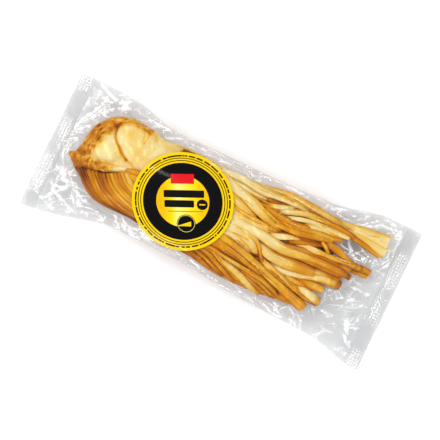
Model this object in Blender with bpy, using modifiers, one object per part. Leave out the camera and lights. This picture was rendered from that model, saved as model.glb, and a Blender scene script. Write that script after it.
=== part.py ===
"""A vacuum pouch of smoked braided string cheese, lying on its back with a round label on top.

Lengths are written in millimetres and turned to metres by MM. +X runs from the folded head of the
cheese to its loose tail, +Y across the pouch, +Z up. The origin is under the middle of the pouch, on
the surface that it lies on.
"""

import math

import bmesh
import bpy
import numpy as np

MM = 0.001

# Pouch
POUCH_LENGTH = 300.0
FILM_THICK = 1.0
GRID_ALONG = 92
GRID_ACROSS = 38
FAR_EDGE = ((-150, 58.5), (-100, 56), (-60, 48), (10, 48.5), (75, 51), (120, 60), (150, 60.5))
NEAR_EDGE = ((-150, -57.5), (-115, -52), (-75, -42.5), (-20, -43.5), (40, -49), (100, -51), (150, -60))
END_RISE = 3.5
SIDE_RISE = 9.0
RIM_WAVE = 1.1
SEAL_WIDTH = 13.0
SEAL_RIBS = 6
SEAL_RELIEF = 0.25
FLAT_ANGLE = math.radians(2)

# Label
LABEL_HALF_LONG = 40.2
LABEL_HALF_WIDE = 38.0
LABEL_CENTRE = (-32.5, 0.4)
LABEL_DROP = 8.0
LABEL_LIFT = 0.6
LABEL_THICK = 0.5
LABEL_GAP = 0.45
LABEL_SPREAD = 6.0
LABEL_RINGS = 8
LABEL_SIDES = 40

# Cheese: the height of its back along X, and the two sides of its outline
CROWN = ((-130, 17), (-118, 23), (-95, 30), (-60, 32), (-30, 33), (10, 30), (50, 25), (85, 19), (128, 13))
FAR_SIDE = ((-128, 4), (-120, 28), (-98, 43), (-62, 39), (0, 39), (22, 41), (48, 45), (90, 43), (128, 47))
NEAR_SIDE = ((-128, -8), (-108, -23), (-92, -30), (-60, -30), (-20, -34), (22, -41), (56, -39), (88, -36), (128, 26))
CROWN_POWER = 2.6
MIDDLE_SHARE = 0.4
CORE_DEPTH = 3.5
BELLY_POWER = 3.0
FOOT_SINK = 0.6
BELLY_EVENING = 8
STRAND_FLATNESS = 0.8

# Strands that show on top: the points that each runs through, its width, and how proud it lies
STRANDS = {
    "far_edge": (((12, 37), (45, 40), (80, 39), (112, 37)), 7.0, 0.0),
    "far_fan": (((98, 38), (112, 38.5), (127, 38)), 15.0, -0.5),
    "far_pale": (((-8, 36), (14, 33.5), (34, 35.5), (58, 35)), 6.0, -1.0),
    "far_second": (((33, 26.5), (50, 32), (72, 34), (104, 32.5)), 6.0, -0.5),
    "far_third": (((42, 24), (64, 29), (98, 31)), 5.0, 0.5),
    "smoked_cross": (((20, 25), (42, 22), (72, 24)), 6.5, 0.0),
    "smoked_long": (((38, 14), (60, 17), (88, 24)), 7.0, 1.0),
    "waist_under": (((-4, 22), (10, 20), (26, 14.5)), 7.0, 0.0),
    "waist_over": (((4, 26), (22, 22), (46, 13.5)), 8.5, 1.0),
    "waist_low": (((2, 13), (24, 9.5), (50, 11)), 7.5, 0.0),
    "middle_main": (((-2, 4), (30, 3), (62, 2), (112, 5)), 7.5, 1.5),
    "middle_long": (((60, 9), (84, 10), (125, 14.5)), 5.5, 0.0),
    "middle_stub": (((84, 17), (94, 18.5), (114, 14.5)), 6.0, -1.5),
    "broad": (((35, -3), (56, -8), (86, -5)), 8.5, 1.0),
    "waist_near": (((-2, -2), (14, -6), (32, -12)), 8.0, 0.0),
    "waist_twist": (((14, 0), (26, -5), (40, -12.5)), 8.0, 0.5),
    "slim": (((52, -13), (64, -15), (82, -10.5), (108, -6)), 6.0, 0.5),
    "short_stub": (((60, -18), (80, -18), (97, -14.5)), 6.5, -1.5),
    "pale_tip": (((38, -8), (48, -15.5), (76, -23.5), (97, -25)), 7.0, 0.0),
    "near_long": (((-6, -12.5), (24, -17), (60, -25), (88, -34)), 8.0, 1.5),
    "near_second": (((0, -20.5), (30, -26.5), (66, -34)), 5.5, 0.5),
    "near_third": (((30, -29.5), (48, -33.5), (67, -35)), 6.0, 0.0),
    "near_pale": (((0, -23), (24, -31.5), (46, -38)), 6.0, 0.5),
    "near_edge": (((-20, -29), (4, -35), (40, -39)), 6.5, -1.0),
}
# Strands that sweep out from under the head, evenly spread between the first and the last
SWEEP_COUNT = 6
SWEEP_WIDTH = 6.0
SWEEP_FIRST = ((-119, -9), (-104, -23), (-58, -27))
SWEEP_LAST = ((-84, -3), (-74, -8), (-54, -10))

# Head: the folded end, as swellings of centre, half sizes, turn in degrees and top
HEAD = {
    "dome": ((-91, 18), (31, 25), -12, 31.5),
    "fold": ((-108, -1), (21, 9), -22, 27.5),
    "horn": ((-121, -4), (9, 5), -40, 22.0),
}


def eased(points, x):
    """The height at x of a curve that eases from each point to the next, never past either."""
    known = np.array(points, float)
    x = np.clip(x, known[0, 0], known[-1, 0])
    steps = np.diff(known[:, 1]) / np.diff(known[:, 0])
    slopes = np.zeros(len(known))
    for i in range(1, len(known) - 1):
        before, after = steps[i - 1], steps[i]
        slopes[i] = 0 if before * after <= 0 else 2 * before * after / (before + after)
    i = np.clip(np.searchsorted(known[:, 0], x, side="right") - 1, 0, len(known) - 2)
    span = known[i + 1, 0] - known[i, 0]
    t = (x - known[i, 0]) / span
    rise = known[i + 1, 1] - known[i, 1]
    return (
        known[i, 1]
        + rise * t * t * (3 - 2 * t)
        + span * slopes[i] * t * (1 - t) ** 2
        - span * slopes[i + 1] * t * t * (1 - t)
    )


def path_through(points, step=2.0):
    """Points a step apart on a smooth curve through the given ones."""
    known = np.array(points, float)
    padded = np.vstack([2 * known[0] - known[1], known, 2 * known[-1] - known[-2]])
    made = []
    for p0, p1, p2, p3 in zip(padded, padded[1:], padded[2:], padded[3:]):
        count = max(2, int(np.linalg.norm(p2 - p1) / step))
        for t in np.arange(count) / count:
            bend = 2 * p0 - 5 * p1 + 4 * p2 - p3
            twist = 3 * (p1 - p2) + p3 - p0
            made.append(p1 + 0.5 * ((p2 - p0) * t + bend * t**2 + twist * t**3))
    made.append(known[-1])
    return np.array(made)


def fullness(x, y, power):
    """One along the middle of the cheese, and rounding down to nothing at its outline."""
    far, near = eased(FAR_SIDE, x), eased(NEAR_SIDE, x)
    across = np.clip(np.abs(2 * y - far - near) / np.maximum(far - near, 1), 0, 1)
    return (1 - across**power) ** (1 / power)


def crown_height(x, y):
    """How high the back of the cheese stands at x, y, down to its middle height at its outline."""
    return eased(CROWN, x) * (MIDDLE_SHARE + (1 - MIDDLE_SHARE) * fullness(x, y, CROWN_POWER))


def belly_height(x, y):
    """The underside: flat where it lies on the table, and rounding up to the middle height."""
    curved = MIDDLE_SHARE * eased(CROWN, x) * (1 - fullness(x, y, BELLY_POWER))
    return np.maximum(curved - FOOT_SINK, 0)


def strand_height(x, y, route, width, proud):
    """The top of one strand over x, y, and a depth below everything away from it."""
    thick = width * STRAND_FLATNESS
    centre = crown_height(route[:, 0], route[:, 1]) - thick / 2 + proud
    gap = np.hypot(x[..., None] - route[:, 0], y[..., None] - route[:, 1])
    nearest = gap.argmin(axis=-1)
    off = gap.min(axis=-1) / (width / 2)
    top = centre[nearest] + thick / 2 * np.sqrt(np.clip(1 - off**2, 0, 1))
    return np.where(off < 1, top, -1.0)


def swelling_height(x, y, centre, half, turn, top):
    """The top of one rounded swelling of the head over x, y."""
    c, s = math.cos(math.radians(turn)), math.sin(math.radians(turn))
    dx, dy = x - centre[0], y - centre[1]
    away = ((dx * c + dy * s) / half[0]) ** 2 + ((dy * c - dx * s) / half[1]) ** 2
    middle = MIDDLE_SHARE * top
    raised = middle + (top - middle) * np.sqrt(np.clip(1 - away**1.4, 0, 1))
    return np.where(away < 1, raised, -1.0)


def strand_routes():
    """(route, width, how proud) of every strand on top."""
    made = [(path_through(points), width, proud) for points, width, proud in STRANDS.values()]
    first, last = np.array(SWEEP_FIRST, float), np.array(SWEEP_LAST, float)
    for i in range(SWEEP_COUNT):
        share = i / (SWEEP_COUNT - 1)
        made.append((path_through(first + (last - first) * share), SWEEP_WIDTH, 0.0))
    return made


def cheese_top(x, y):
    """The top of all of the cheese over x, y, and below zero where there is none."""
    far, near = eased(FAR_SIDE, x), eased(NEAR_SIDE, x)
    last_strand = max(points[-1][0] for points, _, _ in STRANDS.values())
    inside = (y < far - 2) & (y > near + 2) & (x < last_strand - 40) & (x > -100)
    top = np.where(inside, crown_height(x, y) - CORE_DEPTH, -1.0)
    for route, width, proud in strand_routes():
        top = np.maximum(top, strand_height(x, y, route, width, proud))
    for centre, half, turn, peak in HEAD.values():
        top = np.maximum(top, swelling_height(x, y, centre, half, turn, peak))
    return top


def neighbours(z):
    """The mean of each point's four neighbours on the grid."""
    padded = np.pad(z, 1, mode="edge")
    return (padded[:-2, 1:-1] + padded[2:, 1:-1] + padded[1:-1, :-2] + padded[1:-1, 2:]) / 4


def stretched(z, held, rounds=400):
    """z eased to a taut sheet everywhere that it isn't held."""
    start = z.copy()
    for _ in range(rounds):
        z = np.where(held, start, neighbours(z))
    return z


def sucked_down(over, pull, rounds=160):
    """A film that is pulled down on what is under it, and bridges the narrow gaps."""
    z = over.copy()
    for _ in range(rounds):
        z = np.maximum(neighbours(z) - pull, over)
    return z


def rim_height(x, y):
    """How high the pouch's edge floats: low at its ends, higher beside the cheese, and a little wavy."""
    along = np.clip(np.abs(x) / (POUCH_LENGTH / 2), 0, 1)
    wave = np.sin(x / 17.0 + np.sign(y)) + np.sin(y / 13.0 + 2 * np.sign(x))
    return SIDE_RISE + (END_RISE - SIDE_RISE) * along**3 + RIM_WAVE * wave


def seal_relief(x):
    """The shallow ribs pressed in the two end seals."""
    depth = POUCH_LENGTH / 2 - np.abs(x)
    share = np.clip(depth / SEAL_WIDTH, 0, 1)
    return np.where(share < 1, SEAL_RELIEF * np.sin(math.pi * SEAL_RIBS * share) ** 2, 0)


def pouch_surfaces():
    """x, y and the heights of the pouch's upper and lower film on a grid of points."""
    along = np.linspace(-POUCH_LENGTH / 2, POUCH_LENGTH / 2, GRID_ALONG + 1)
    share = np.linspace(0, 1, GRID_ACROSS + 1)
    x = np.repeat(along[:, None], GRID_ACROSS + 1, axis=1)
    far, near = eased(FAR_EDGE, x), eased(NEAR_EDGE, x)
    y = near + (far - near) * share

    cheese = cheese_top(x, y)
    filled = cheese > 0
    rim = np.zeros_like(filled)
    rim[[0, -1], :] = rim[:, [0, -1]] = True
    middle = MIDDLE_SHARE * eased(CROWN, x)
    seam = np.where(filled, middle, rim_height(x, y))
    seam = stretched(seam, filled | rim)

    upper = np.maximum(cheese, seam + FILM_THICK / 2)
    upper = sucked_down(upper, pull=0.18)
    cover = label_cover(x, y)
    upper = upper + (label_height(x, y) - upper) * cover
    upper = upper + seal_relief(x)

    belly = np.minimum(belly_height(x, y), seam - FILM_THICK / 2)
    lower = np.where(filled, belly, seam - FILM_THICK / 2)
    for _ in range(BELLY_EVENING):
        lower = np.where(rim | (filled & (belly == 0)), lower, neighbours(lower))
    return x, y, upper, lower


def label_height(x, y):
    """The even saddle that the stiff label keeps the film to: along the crown, and down at its sides."""
    across = np.abs(y - LABEL_CENTRE[1]) / LABEL_HALF_WIDE
    return eased(CROWN, x) + LABEL_LIFT - LABEL_DROP * across**3


def label_cover(x, y):
    """One where the label evens out the film, easing to nothing just outside it."""
    away = np.hypot((x - LABEL_CENTRE[0]) / LABEL_HALF_LONG, (y - LABEL_CENTRE[1]) / LABEL_HALF_WIDE)
    share = np.clip(1 + (1.03 - away) * LABEL_HALF_LONG / LABEL_SPREAD, 0, 1)
    return share * share * (3 - 2 * share)


def remove_everything():
    for obj in list(bpy.data.objects):
        bpy.data.objects.remove(obj, do_unlink=True)


def material(name, colour, roughness, alpha=1.0):
    made = bpy.data.materials.new(name)
    made.use_nodes = True
    shader = made.node_tree.nodes["Principled BSDF"]
    shader.inputs["Base Color"].default_value = (*colour, 1)
    shader.inputs["Roughness"].default_value = roughness
    shader.inputs["Metallic"].default_value = 0.0
    shader.inputs["Alpha"].default_value = alpha
    return made


def add_object(name, mesh, collection, surface):
    made = bpy.data.objects.new(name, mesh)
    collection.objects.link(made)
    mesh.materials.append(surface)
    return made


def build_pouch(collection):
    """The sealed pouch with its contents, as one body between its two films."""
    x, y, upper, lower = (values.ravel() * MM for values in pouch_surfaces())
    bm = bmesh.new()
    bmesh.ops.create_grid(bm, x_segments=GRID_ALONG, y_segments=GRID_ACROSS, size=1)
    bm.verts.ensure_lookup_table()
    # The grid's own corners run from -1 to 1 on both axes, which gives each vertex its row and column.
    for vert in bm.verts:
        row = round((vert.co.x + 1) / 2 * GRID_ALONG)
        column = round((vert.co.y + 1) / 2 * GRID_ACROSS)
        vert.index = row * (GRID_ACROSS + 1) + column
    places = {vert: vert.index for vert in bm.verts}
    copied = bmesh.ops.extrude_face_region(bm, geom=list(bm.faces), use_keep_orig=True)
    lid = [item for item in copied["geom"] if isinstance(item, bmesh.types.BMVert)]
    by_place = {(round(vert.co.x, 5), round(vert.co.y, 5)): place for vert, place in places.items()}
    for vert in lid:
        place = by_place[(round(vert.co.x, 5), round(vert.co.y, 5))]
        vert.co = (x[place], y[place], upper[place])
    for vert, place in places.items():
        vert.co = (x[place], y[place], lower[place])
    bmesh.ops.recalc_face_normals(bm, faces=bm.faces)
    mesh = bpy.data.meshes.new("sealed_pouch")
    bm.to_mesh(mesh)
    bm.free()
    pouch = add_object("sealed_pouch", mesh, collection, material("clear_film", (0.80, 0.58, 0.27), 0.2))
    flatten = pouch.modifiers.new("merge_flat_parts", "DECIMATE")
    flatten.decimate_type = "DISSOLVE"
    flatten.angle_limit = FLAT_ANGLE
    mesh.shade_smooth()
    mesh.set_sharp_from_angle(angle=math.radians(40))
    return pouch


def build_label(collection, pouch):
    """The round label: a turned disc that is laid on the pouch and then given its thickness."""
    start_height = 0.1
    bm = bmesh.new()
    radii = [LABEL_HALF_LONG * MM * i / LABEL_RINGS for i in range(LABEL_RINGS + 1)]
    line = [bm.verts.new((radius, 0, 0)) for radius in radii]
    for inner, outer in zip(line, line[1:]):
        bm.edges.new((inner, outer))
    mesh = bpy.data.meshes.new("round_label")
    bm.to_mesh(mesh)
    bm.free()
    label = add_object("round_label", mesh, collection, material("label_paper", (0.95, 0.66, 0.02), 0.25))
    label.location = (LABEL_CENTRE[0] * MM, LABEL_CENTRE[1] * MM, start_height)
    label.scale = (1, LABEL_HALF_WIDE / LABEL_HALF_LONG, 1)
    turn = label.modifiers.new("turn", "SCREW")
    turn.axis = "Z"
    turn.steps = turn.render_steps = LABEL_SIDES
    turn.use_merge_vertices = True
    turn.merge_threshold = 0.00001
    lay = label.modifiers.new("lay_on_film", "SHRINKWRAP")
    lay.target = pouch
    lay.wrap_method = "PROJECT"
    lay.use_project_z = True
    lay.use_negative_direction = True
    lay.use_positive_direction = False
    lay.offset = LABEL_GAP * MM
    thicken = label.modifiers.new("paper", "SOLIDIFY")
    thicken.thickness = LABEL_THICK * MM
    thicken.offset = 1.0
    return label


def main():
    remove_everything()
    collection = bpy.data.collections.new("braided_string_cheese_pack")
    bpy.context.scene.collection.children.link(collection)
    pouch = build_pouch(collection)
    build_label(collection, pouch)


main()
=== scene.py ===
import math
import random

import bpy
import numpy as np
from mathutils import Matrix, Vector, noise
from mathutils.bvhtree import BVHTree


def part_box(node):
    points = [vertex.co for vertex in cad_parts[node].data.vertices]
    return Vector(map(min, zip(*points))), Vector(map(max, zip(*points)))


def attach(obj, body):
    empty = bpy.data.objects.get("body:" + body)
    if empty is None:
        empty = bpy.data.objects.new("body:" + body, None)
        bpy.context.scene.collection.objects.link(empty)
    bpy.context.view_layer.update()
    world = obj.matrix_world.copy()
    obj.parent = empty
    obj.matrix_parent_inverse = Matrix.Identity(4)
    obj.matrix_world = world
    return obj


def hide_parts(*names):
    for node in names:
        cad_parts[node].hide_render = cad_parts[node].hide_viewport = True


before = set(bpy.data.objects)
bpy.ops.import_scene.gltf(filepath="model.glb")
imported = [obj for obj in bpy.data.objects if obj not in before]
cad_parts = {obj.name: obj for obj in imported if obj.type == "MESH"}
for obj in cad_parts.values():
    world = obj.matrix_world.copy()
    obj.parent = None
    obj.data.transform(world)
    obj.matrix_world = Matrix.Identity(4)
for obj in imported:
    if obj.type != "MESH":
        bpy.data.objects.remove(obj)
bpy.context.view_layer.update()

# A clear vacuum pouch of smoked braided string cheese with a round sticker on it.
# Lengths are millimetres, and mm turns them to metres. +X runs from the folded head to the loose tail.
mm = 0.001
pouchLow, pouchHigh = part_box("sealed_pouch")
labelLow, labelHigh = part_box("round_label")


def linear(hexColour):  # sRGB hex to linear
    made = []
    for i in (0, 2, 4):
        c = int(hexColour[i:i + 2], 16) / 255
        made.append(c / 12.92 if c <= 0.04045 else ((c + 0.055) / 1.055) ** 2.4)
    return (*made, 1.0)


def addNode(tree, kind, values=None):  # a value of (node, output socket) is a link
    node = tree.nodes.new("ShaderNode" + kind)
    for name, value in (values or {}).items():
        if isinstance(value, tuple) and isinstance(value[0], bpy.types.Node):
            tree.links.new(value[0].outputs[value[1]], node.inputs[name])
        elif isinstance(name, int) or name in node.inputs.keys():
            node.inputs[name].default_value = value
        else:
            setattr(node, name, value)
    return node


def newMaterial(name):
    made = bpy.data.materials.new(name)
    made.use_nodes = True
    made.node_tree.nodes.clear()
    return made, made.node_tree


def fillRamp(ramp, stops):  # stops: (place, hex colour)
    band = ramp.color_ramp
    while len(band.elements) < len(stops):
        band.elements.new(0.5)
    for element, (place, colour) in zip(band.elements, stops):
        element.position = place
        element.color = linear(colour)


def clearSelection():
    if bpy.context.object and bpy.context.object.mode != "OBJECT":
        bpy.ops.object.mode_set(mode="OBJECT")
    bpy.ops.object.select_all(action="DESELECT")


def selectOnly(*objects):
    clearSelection()
    for item in objects:
        item.select_set(True)
    bpy.context.view_layer.objects.active = objects[0]


def applyPlace(item):
    selectOnly(item)
    bpy.ops.object.transform_apply(location=True, rotation=True, scale=True)


def applyModifier(item, kind, **settings):
    selectOnly(item)
    modifier = item.modifiers.new(kind.lower(), kind)
    for name, value in settings.items():
        setattr(modifier, name, value)
    bpy.ops.object.modifier_apply(modifier=modifier.name)


def readVectors(item, field):
    flat = np.empty(len(item.data.vertices) * 3)
    item.data.vertices.foreach_get(field, flat)
    return flat.reshape(-1, 3)


def readPoints(item):  # n x 3, in mm
    return readVectors(item, "co") / mm


def writePoints(item, points):
    item.data.vertices.foreach_set("co", (points * mm).ravel())
    item.data.update()


def writeValues(item, name, values):
    kind, field = ("FLOAT", "value") if values.ndim == 1 else ("FLOAT_VECTOR", "vector")
    layer = item.data.attributes.new(name, kind, "POINT")
    layer.data.foreach_set(field, values.ravel())


def joinAll(items, name):
    selectOnly(*items)
    bpy.ops.object.join()
    joined = bpy.context.object
    joined.name = joined.data.name = name
    return joined


def ease(t):
    t = np.clip(t, 0, 1)
    return t * t * (3 - 2 * t)


def eased(points, x):  # a curve that eases from point to point and never past either
    known = np.array(points, float)
    x = np.clip(x, known[0, 0], known[-1, 0])
    steps = np.diff(known[:, 1]) / np.diff(known[:, 0])
    slopes = np.zeros(len(known))
    for i in range(1, len(known) - 1):
        a, b = steps[i - 1], steps[i]
        slopes[i] = 0 if a * b <= 0 else 2 * a * b / (a + b)
    i = np.clip(np.searchsorted(known[:, 0], x, side="right") - 1, 0, len(known) - 2)
    span = known[i + 1, 0] - known[i, 0]
    t = (x - known[i, 0]) / span
    return (known[i, 1] + (known[i + 1, 1] - known[i, 1]) * t * t * (3 - 2 * t)
            + span * slopes[i] * t * (1 - t) ** 2 - span * slopes[i + 1] * t * t * (1 - t))


def pathThrough(points, step=4.0):  # points a step apart on a smooth curve through the given ones
    known = np.array(points, float)
    padded = np.vstack([2 * known[0] - known[1], known, 2 * known[-1] - known[-2]])
    made = []
    for p0, p1, p2, p3 in zip(padded, padded[1:], padded[2:], padded[3:]):
        count = max(2, round(np.linalg.norm(p2[:2] - p1[:2]) / step))
        for t in np.arange(count) / count:
            made.append(p1 + 0.5 * ((p2 - p0) * t + (2 * p0 - 5 * p1 + 4 * p2 - p3) * t ** 2
                                    + (3 * (p1 - p2) + p3 - p0) * t ** 3))
    made.append(known[-1])
    return np.array(made)


studio = {
    "frameWidth": 348.5,      # what the view takes in across, at a third of the pack's height
    "cameraHeight": 1500.0,
    "roll": 25.9,             # degrees
    "sensor": 36.0,
    "floor": 16000.0,
    "sky": 0.62,
    "lamps": (                # kind, place, size, watts
        ("box", (-560, 640, 900), (760, 620), 6.4),
        ("box", (700, 420, 820), (620, 620), 2.7),
        ("box", (60, -900, 800), (900, 520), 5.8),
        ("box", (-900, -300, 700), (520, 620), 3.3),
        ("strip", (-760, 700, 800), (1300, 40), 4.0),
        ("strip", (840, 660, 760), (1200, 36), 3.2),
        ("strip", (80, -980, 780), (1300, 40), 4.0),
        ("strip", (-860, -460, 780), (1000, 36), 2.8),
        ("strip", (-1000, 200, 640), (1200, 44), 4.4),
        ("strip", (1000, -260, 640), (1200, 44), 4.4),
        ("strip", (500, 900, 660), (1200, 44), 4.4),
        ("strip", (-560, -860, 660), (1200, 44), 4.4),
        ("strip", (-191, 171, 1000), (40, 12), 0.12),      # the small glint on the sticker's black band
    ),
}


def buildStage():
    clearSelection()
    bpy.ops.mesh.primitive_plane_add(size=studio["floor"] * mm, location=(0, 0, 0))
    floor = bpy.context.object
    floor.name = "floor"
    paint, tree = newMaterial("white_laminate_satin")   # an even pale board that shows no grain
    shader = addNode(tree, "BsdfPrincipled", {"Base Color": linear("F8F8F8"), "Roughness": 0.6})
    addNode(tree, "OutputMaterial", {"Surface": (shader, "BSDF")})
    floor.data.materials.append(paint)

    world = bpy.data.worlds.new("studio")
    bpy.context.scene.world = world
    world.use_nodes = True
    world.node_tree.nodes["Background"].inputs["Color"].default_value = (1, 1, 1, 1)
    world.node_tree.nodes["Background"].inputs["Strength"].default_value = studio["sky"]

    # Wide soft boxes light the matt surfaces, and narrow strips draw the thin glints on film and sticker
    for kind, place, size, power in studio["lamps"]:
        bpy.ops.object.light_add(type="AREA", location=[v * mm for v in place])
        light = bpy.context.object
        light.data.shape = "RECTANGLE"
        light.data.size, light.data.size_y = size[0] * mm, size[1] * mm
        light.data.energy = power
        light.visible_glossy = kind == "strip"
        light.visible_diffuse = kind == "box"
        towards = Vector((0, 0, 0)) - light.location
        light.rotation_euler = towards.to_track_quat("-Z", "Y").to_euler()

    height = studio["cameraHeight"]
    turn = math.radians(studio["roll"])
    bpy.ops.object.camera_add(location=(0, 0, height * mm), rotation=(0, 0, turn))
    camera = bpy.context.object
    camera.data.sensor_width = studio["sensor"]
    camera.data.lens = studio["sensor"] * (height - pouchHigh[2] / mm / 3) / studio["frameWidth"]
    bpy.context.scene.camera = camera
    bpy.context.scene.view_settings.view_transform = "Standard"


buildStage()
print("stage done")

bundle = {
    "crown": ((-130, 17), (-118, 23), (-95, 30), (-60, 32), (-30, 33), (10, 30), (50, 25), (85, 19),
              (128, 13)),
    "farSide": ((-128, 4), (-120, 28), (-98, 43), (-62, 39), (0, 39), (22, 41), (48, 45), (90, 43),
                (128, 47)),
    "nearSide": ((-128, -8), (-108, -23), (-92, -30), (-60, -30), (-20, -34), (22, -41), (56, -39),
                 (88, -36), (128, 26)),
    "roundness": 2.6,
    "bellyRoundness": 3.0,
    "middleShare": 0.4,
    "foot": 0.6,        # the lowest that any cheese lies over the table
    "footRise": 0.02,   # keeps pressed points in their order
}


def crownHeight(x, y):
    far, near, top = (eased(bundle[key], x) for key in ("farSide", "nearSide", "crown"))
    across = np.clip(np.abs(2 * y - far - near) / np.maximum(far - near, 1), 0, 1)
    power, share = bundle["roundness"], bundle["middleShare"]
    return top * (share + (1 - share) * (1 - across ** power) ** (1 / power))


def roundSection(x, angle, inset):  # a point on the bundle's cross-section, angle from +Y towards +Z
    far, near, top = (eased(bundle[key], x) for key in ("farSide", "nearSide", "crown"))
    c, s = np.cos(angle), np.sin(angle)
    middle = top * bundle["middleShare"]
    y = (far + near) / 2 + ((far - near) / 2 - inset) * np.sign(c) * np.abs(c) ** (2 / bundle["roundness"])
    rise = np.where(s > 0, top - middle - inset, middle - inset - bundle["foot"])
    return y, middle + rise * np.sign(s) * np.abs(s) ** (2 / bundle["bellyRoundness"])


labelShape = {"drop": 8.0, "curl": 3, "lift": 0.6, "reach": 1.03, "spread": 6.0, "room": 1.0}
labelCentre = [(labelLow[i] + labelHigh[i]) / 2 / mm for i in (0, 1)]
labelHalf = [(labelHigh[i] - labelLow[i]) / 2 / mm for i in (0, 1)]


def labelHeight(x, y):  # the even saddle that the stiff sticker keeps the film to
    across = np.abs(y - labelCentre[1]) / labelHalf[1]
    return eased(bundle["crown"], x) + labelShape["lift"] - labelShape["drop"] * across ** labelShape["curl"]


def labelCover(x, y):
    away = np.hypot((x - labelCentre[0]) / labelHalf[0], (y - labelCentre[1]) / labelHalf[1])
    return ease(1 + (labelShape["reach"] - away) * labelHalf[0] / labelShape["spread"])


def settled(skin):  # cheese points kept over the table and under the sticker
    x, y, z = skin.T
    cover = labelCover(x, y)
    ceiling = labelHeight(x, y) - labelShape["room"]
    z = np.where(cover > 0, z + (np.minimum(z, ceiling) - z) * cover, z)
    return np.column_stack([x, y, np.maximum(z, bundle["foot"] + bundle["footRise"] * z)])


strandShape = {
    "flatness": 0.6,
    "widen": 1.12,
    "sides": 20,
    "profiles": 4,
    "ripples": ((2, 0.07), (3, 0.05), (7, 0.06)),      # waves round the cross-section, and their height
    "swell": 0.07,
    "twist": 16.0,         # degrees
    "lump": 0.30,          # how far lumps move the skin
    "lumpSize": 9.0,
    "lumpTone": 0.10,
    "split": 0.36,         # how deep the grooves between a strand's own fibres are
    "grain": (30, 2.2),    # the fibres' length, and how many there are round the strand
    "splitGrain": (1.2, 0.8, 0.8),
    "cutRound": 0.3,
    # the edge tone and the ridge below paint shade on each strand: darker at its sides, palest along its top
    "edgeShade": 0.22,
    "ridge": (0.85, 0.75),
    "diveShare": 0.25,     # how much of a strand's length its end takes to dive
}

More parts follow.
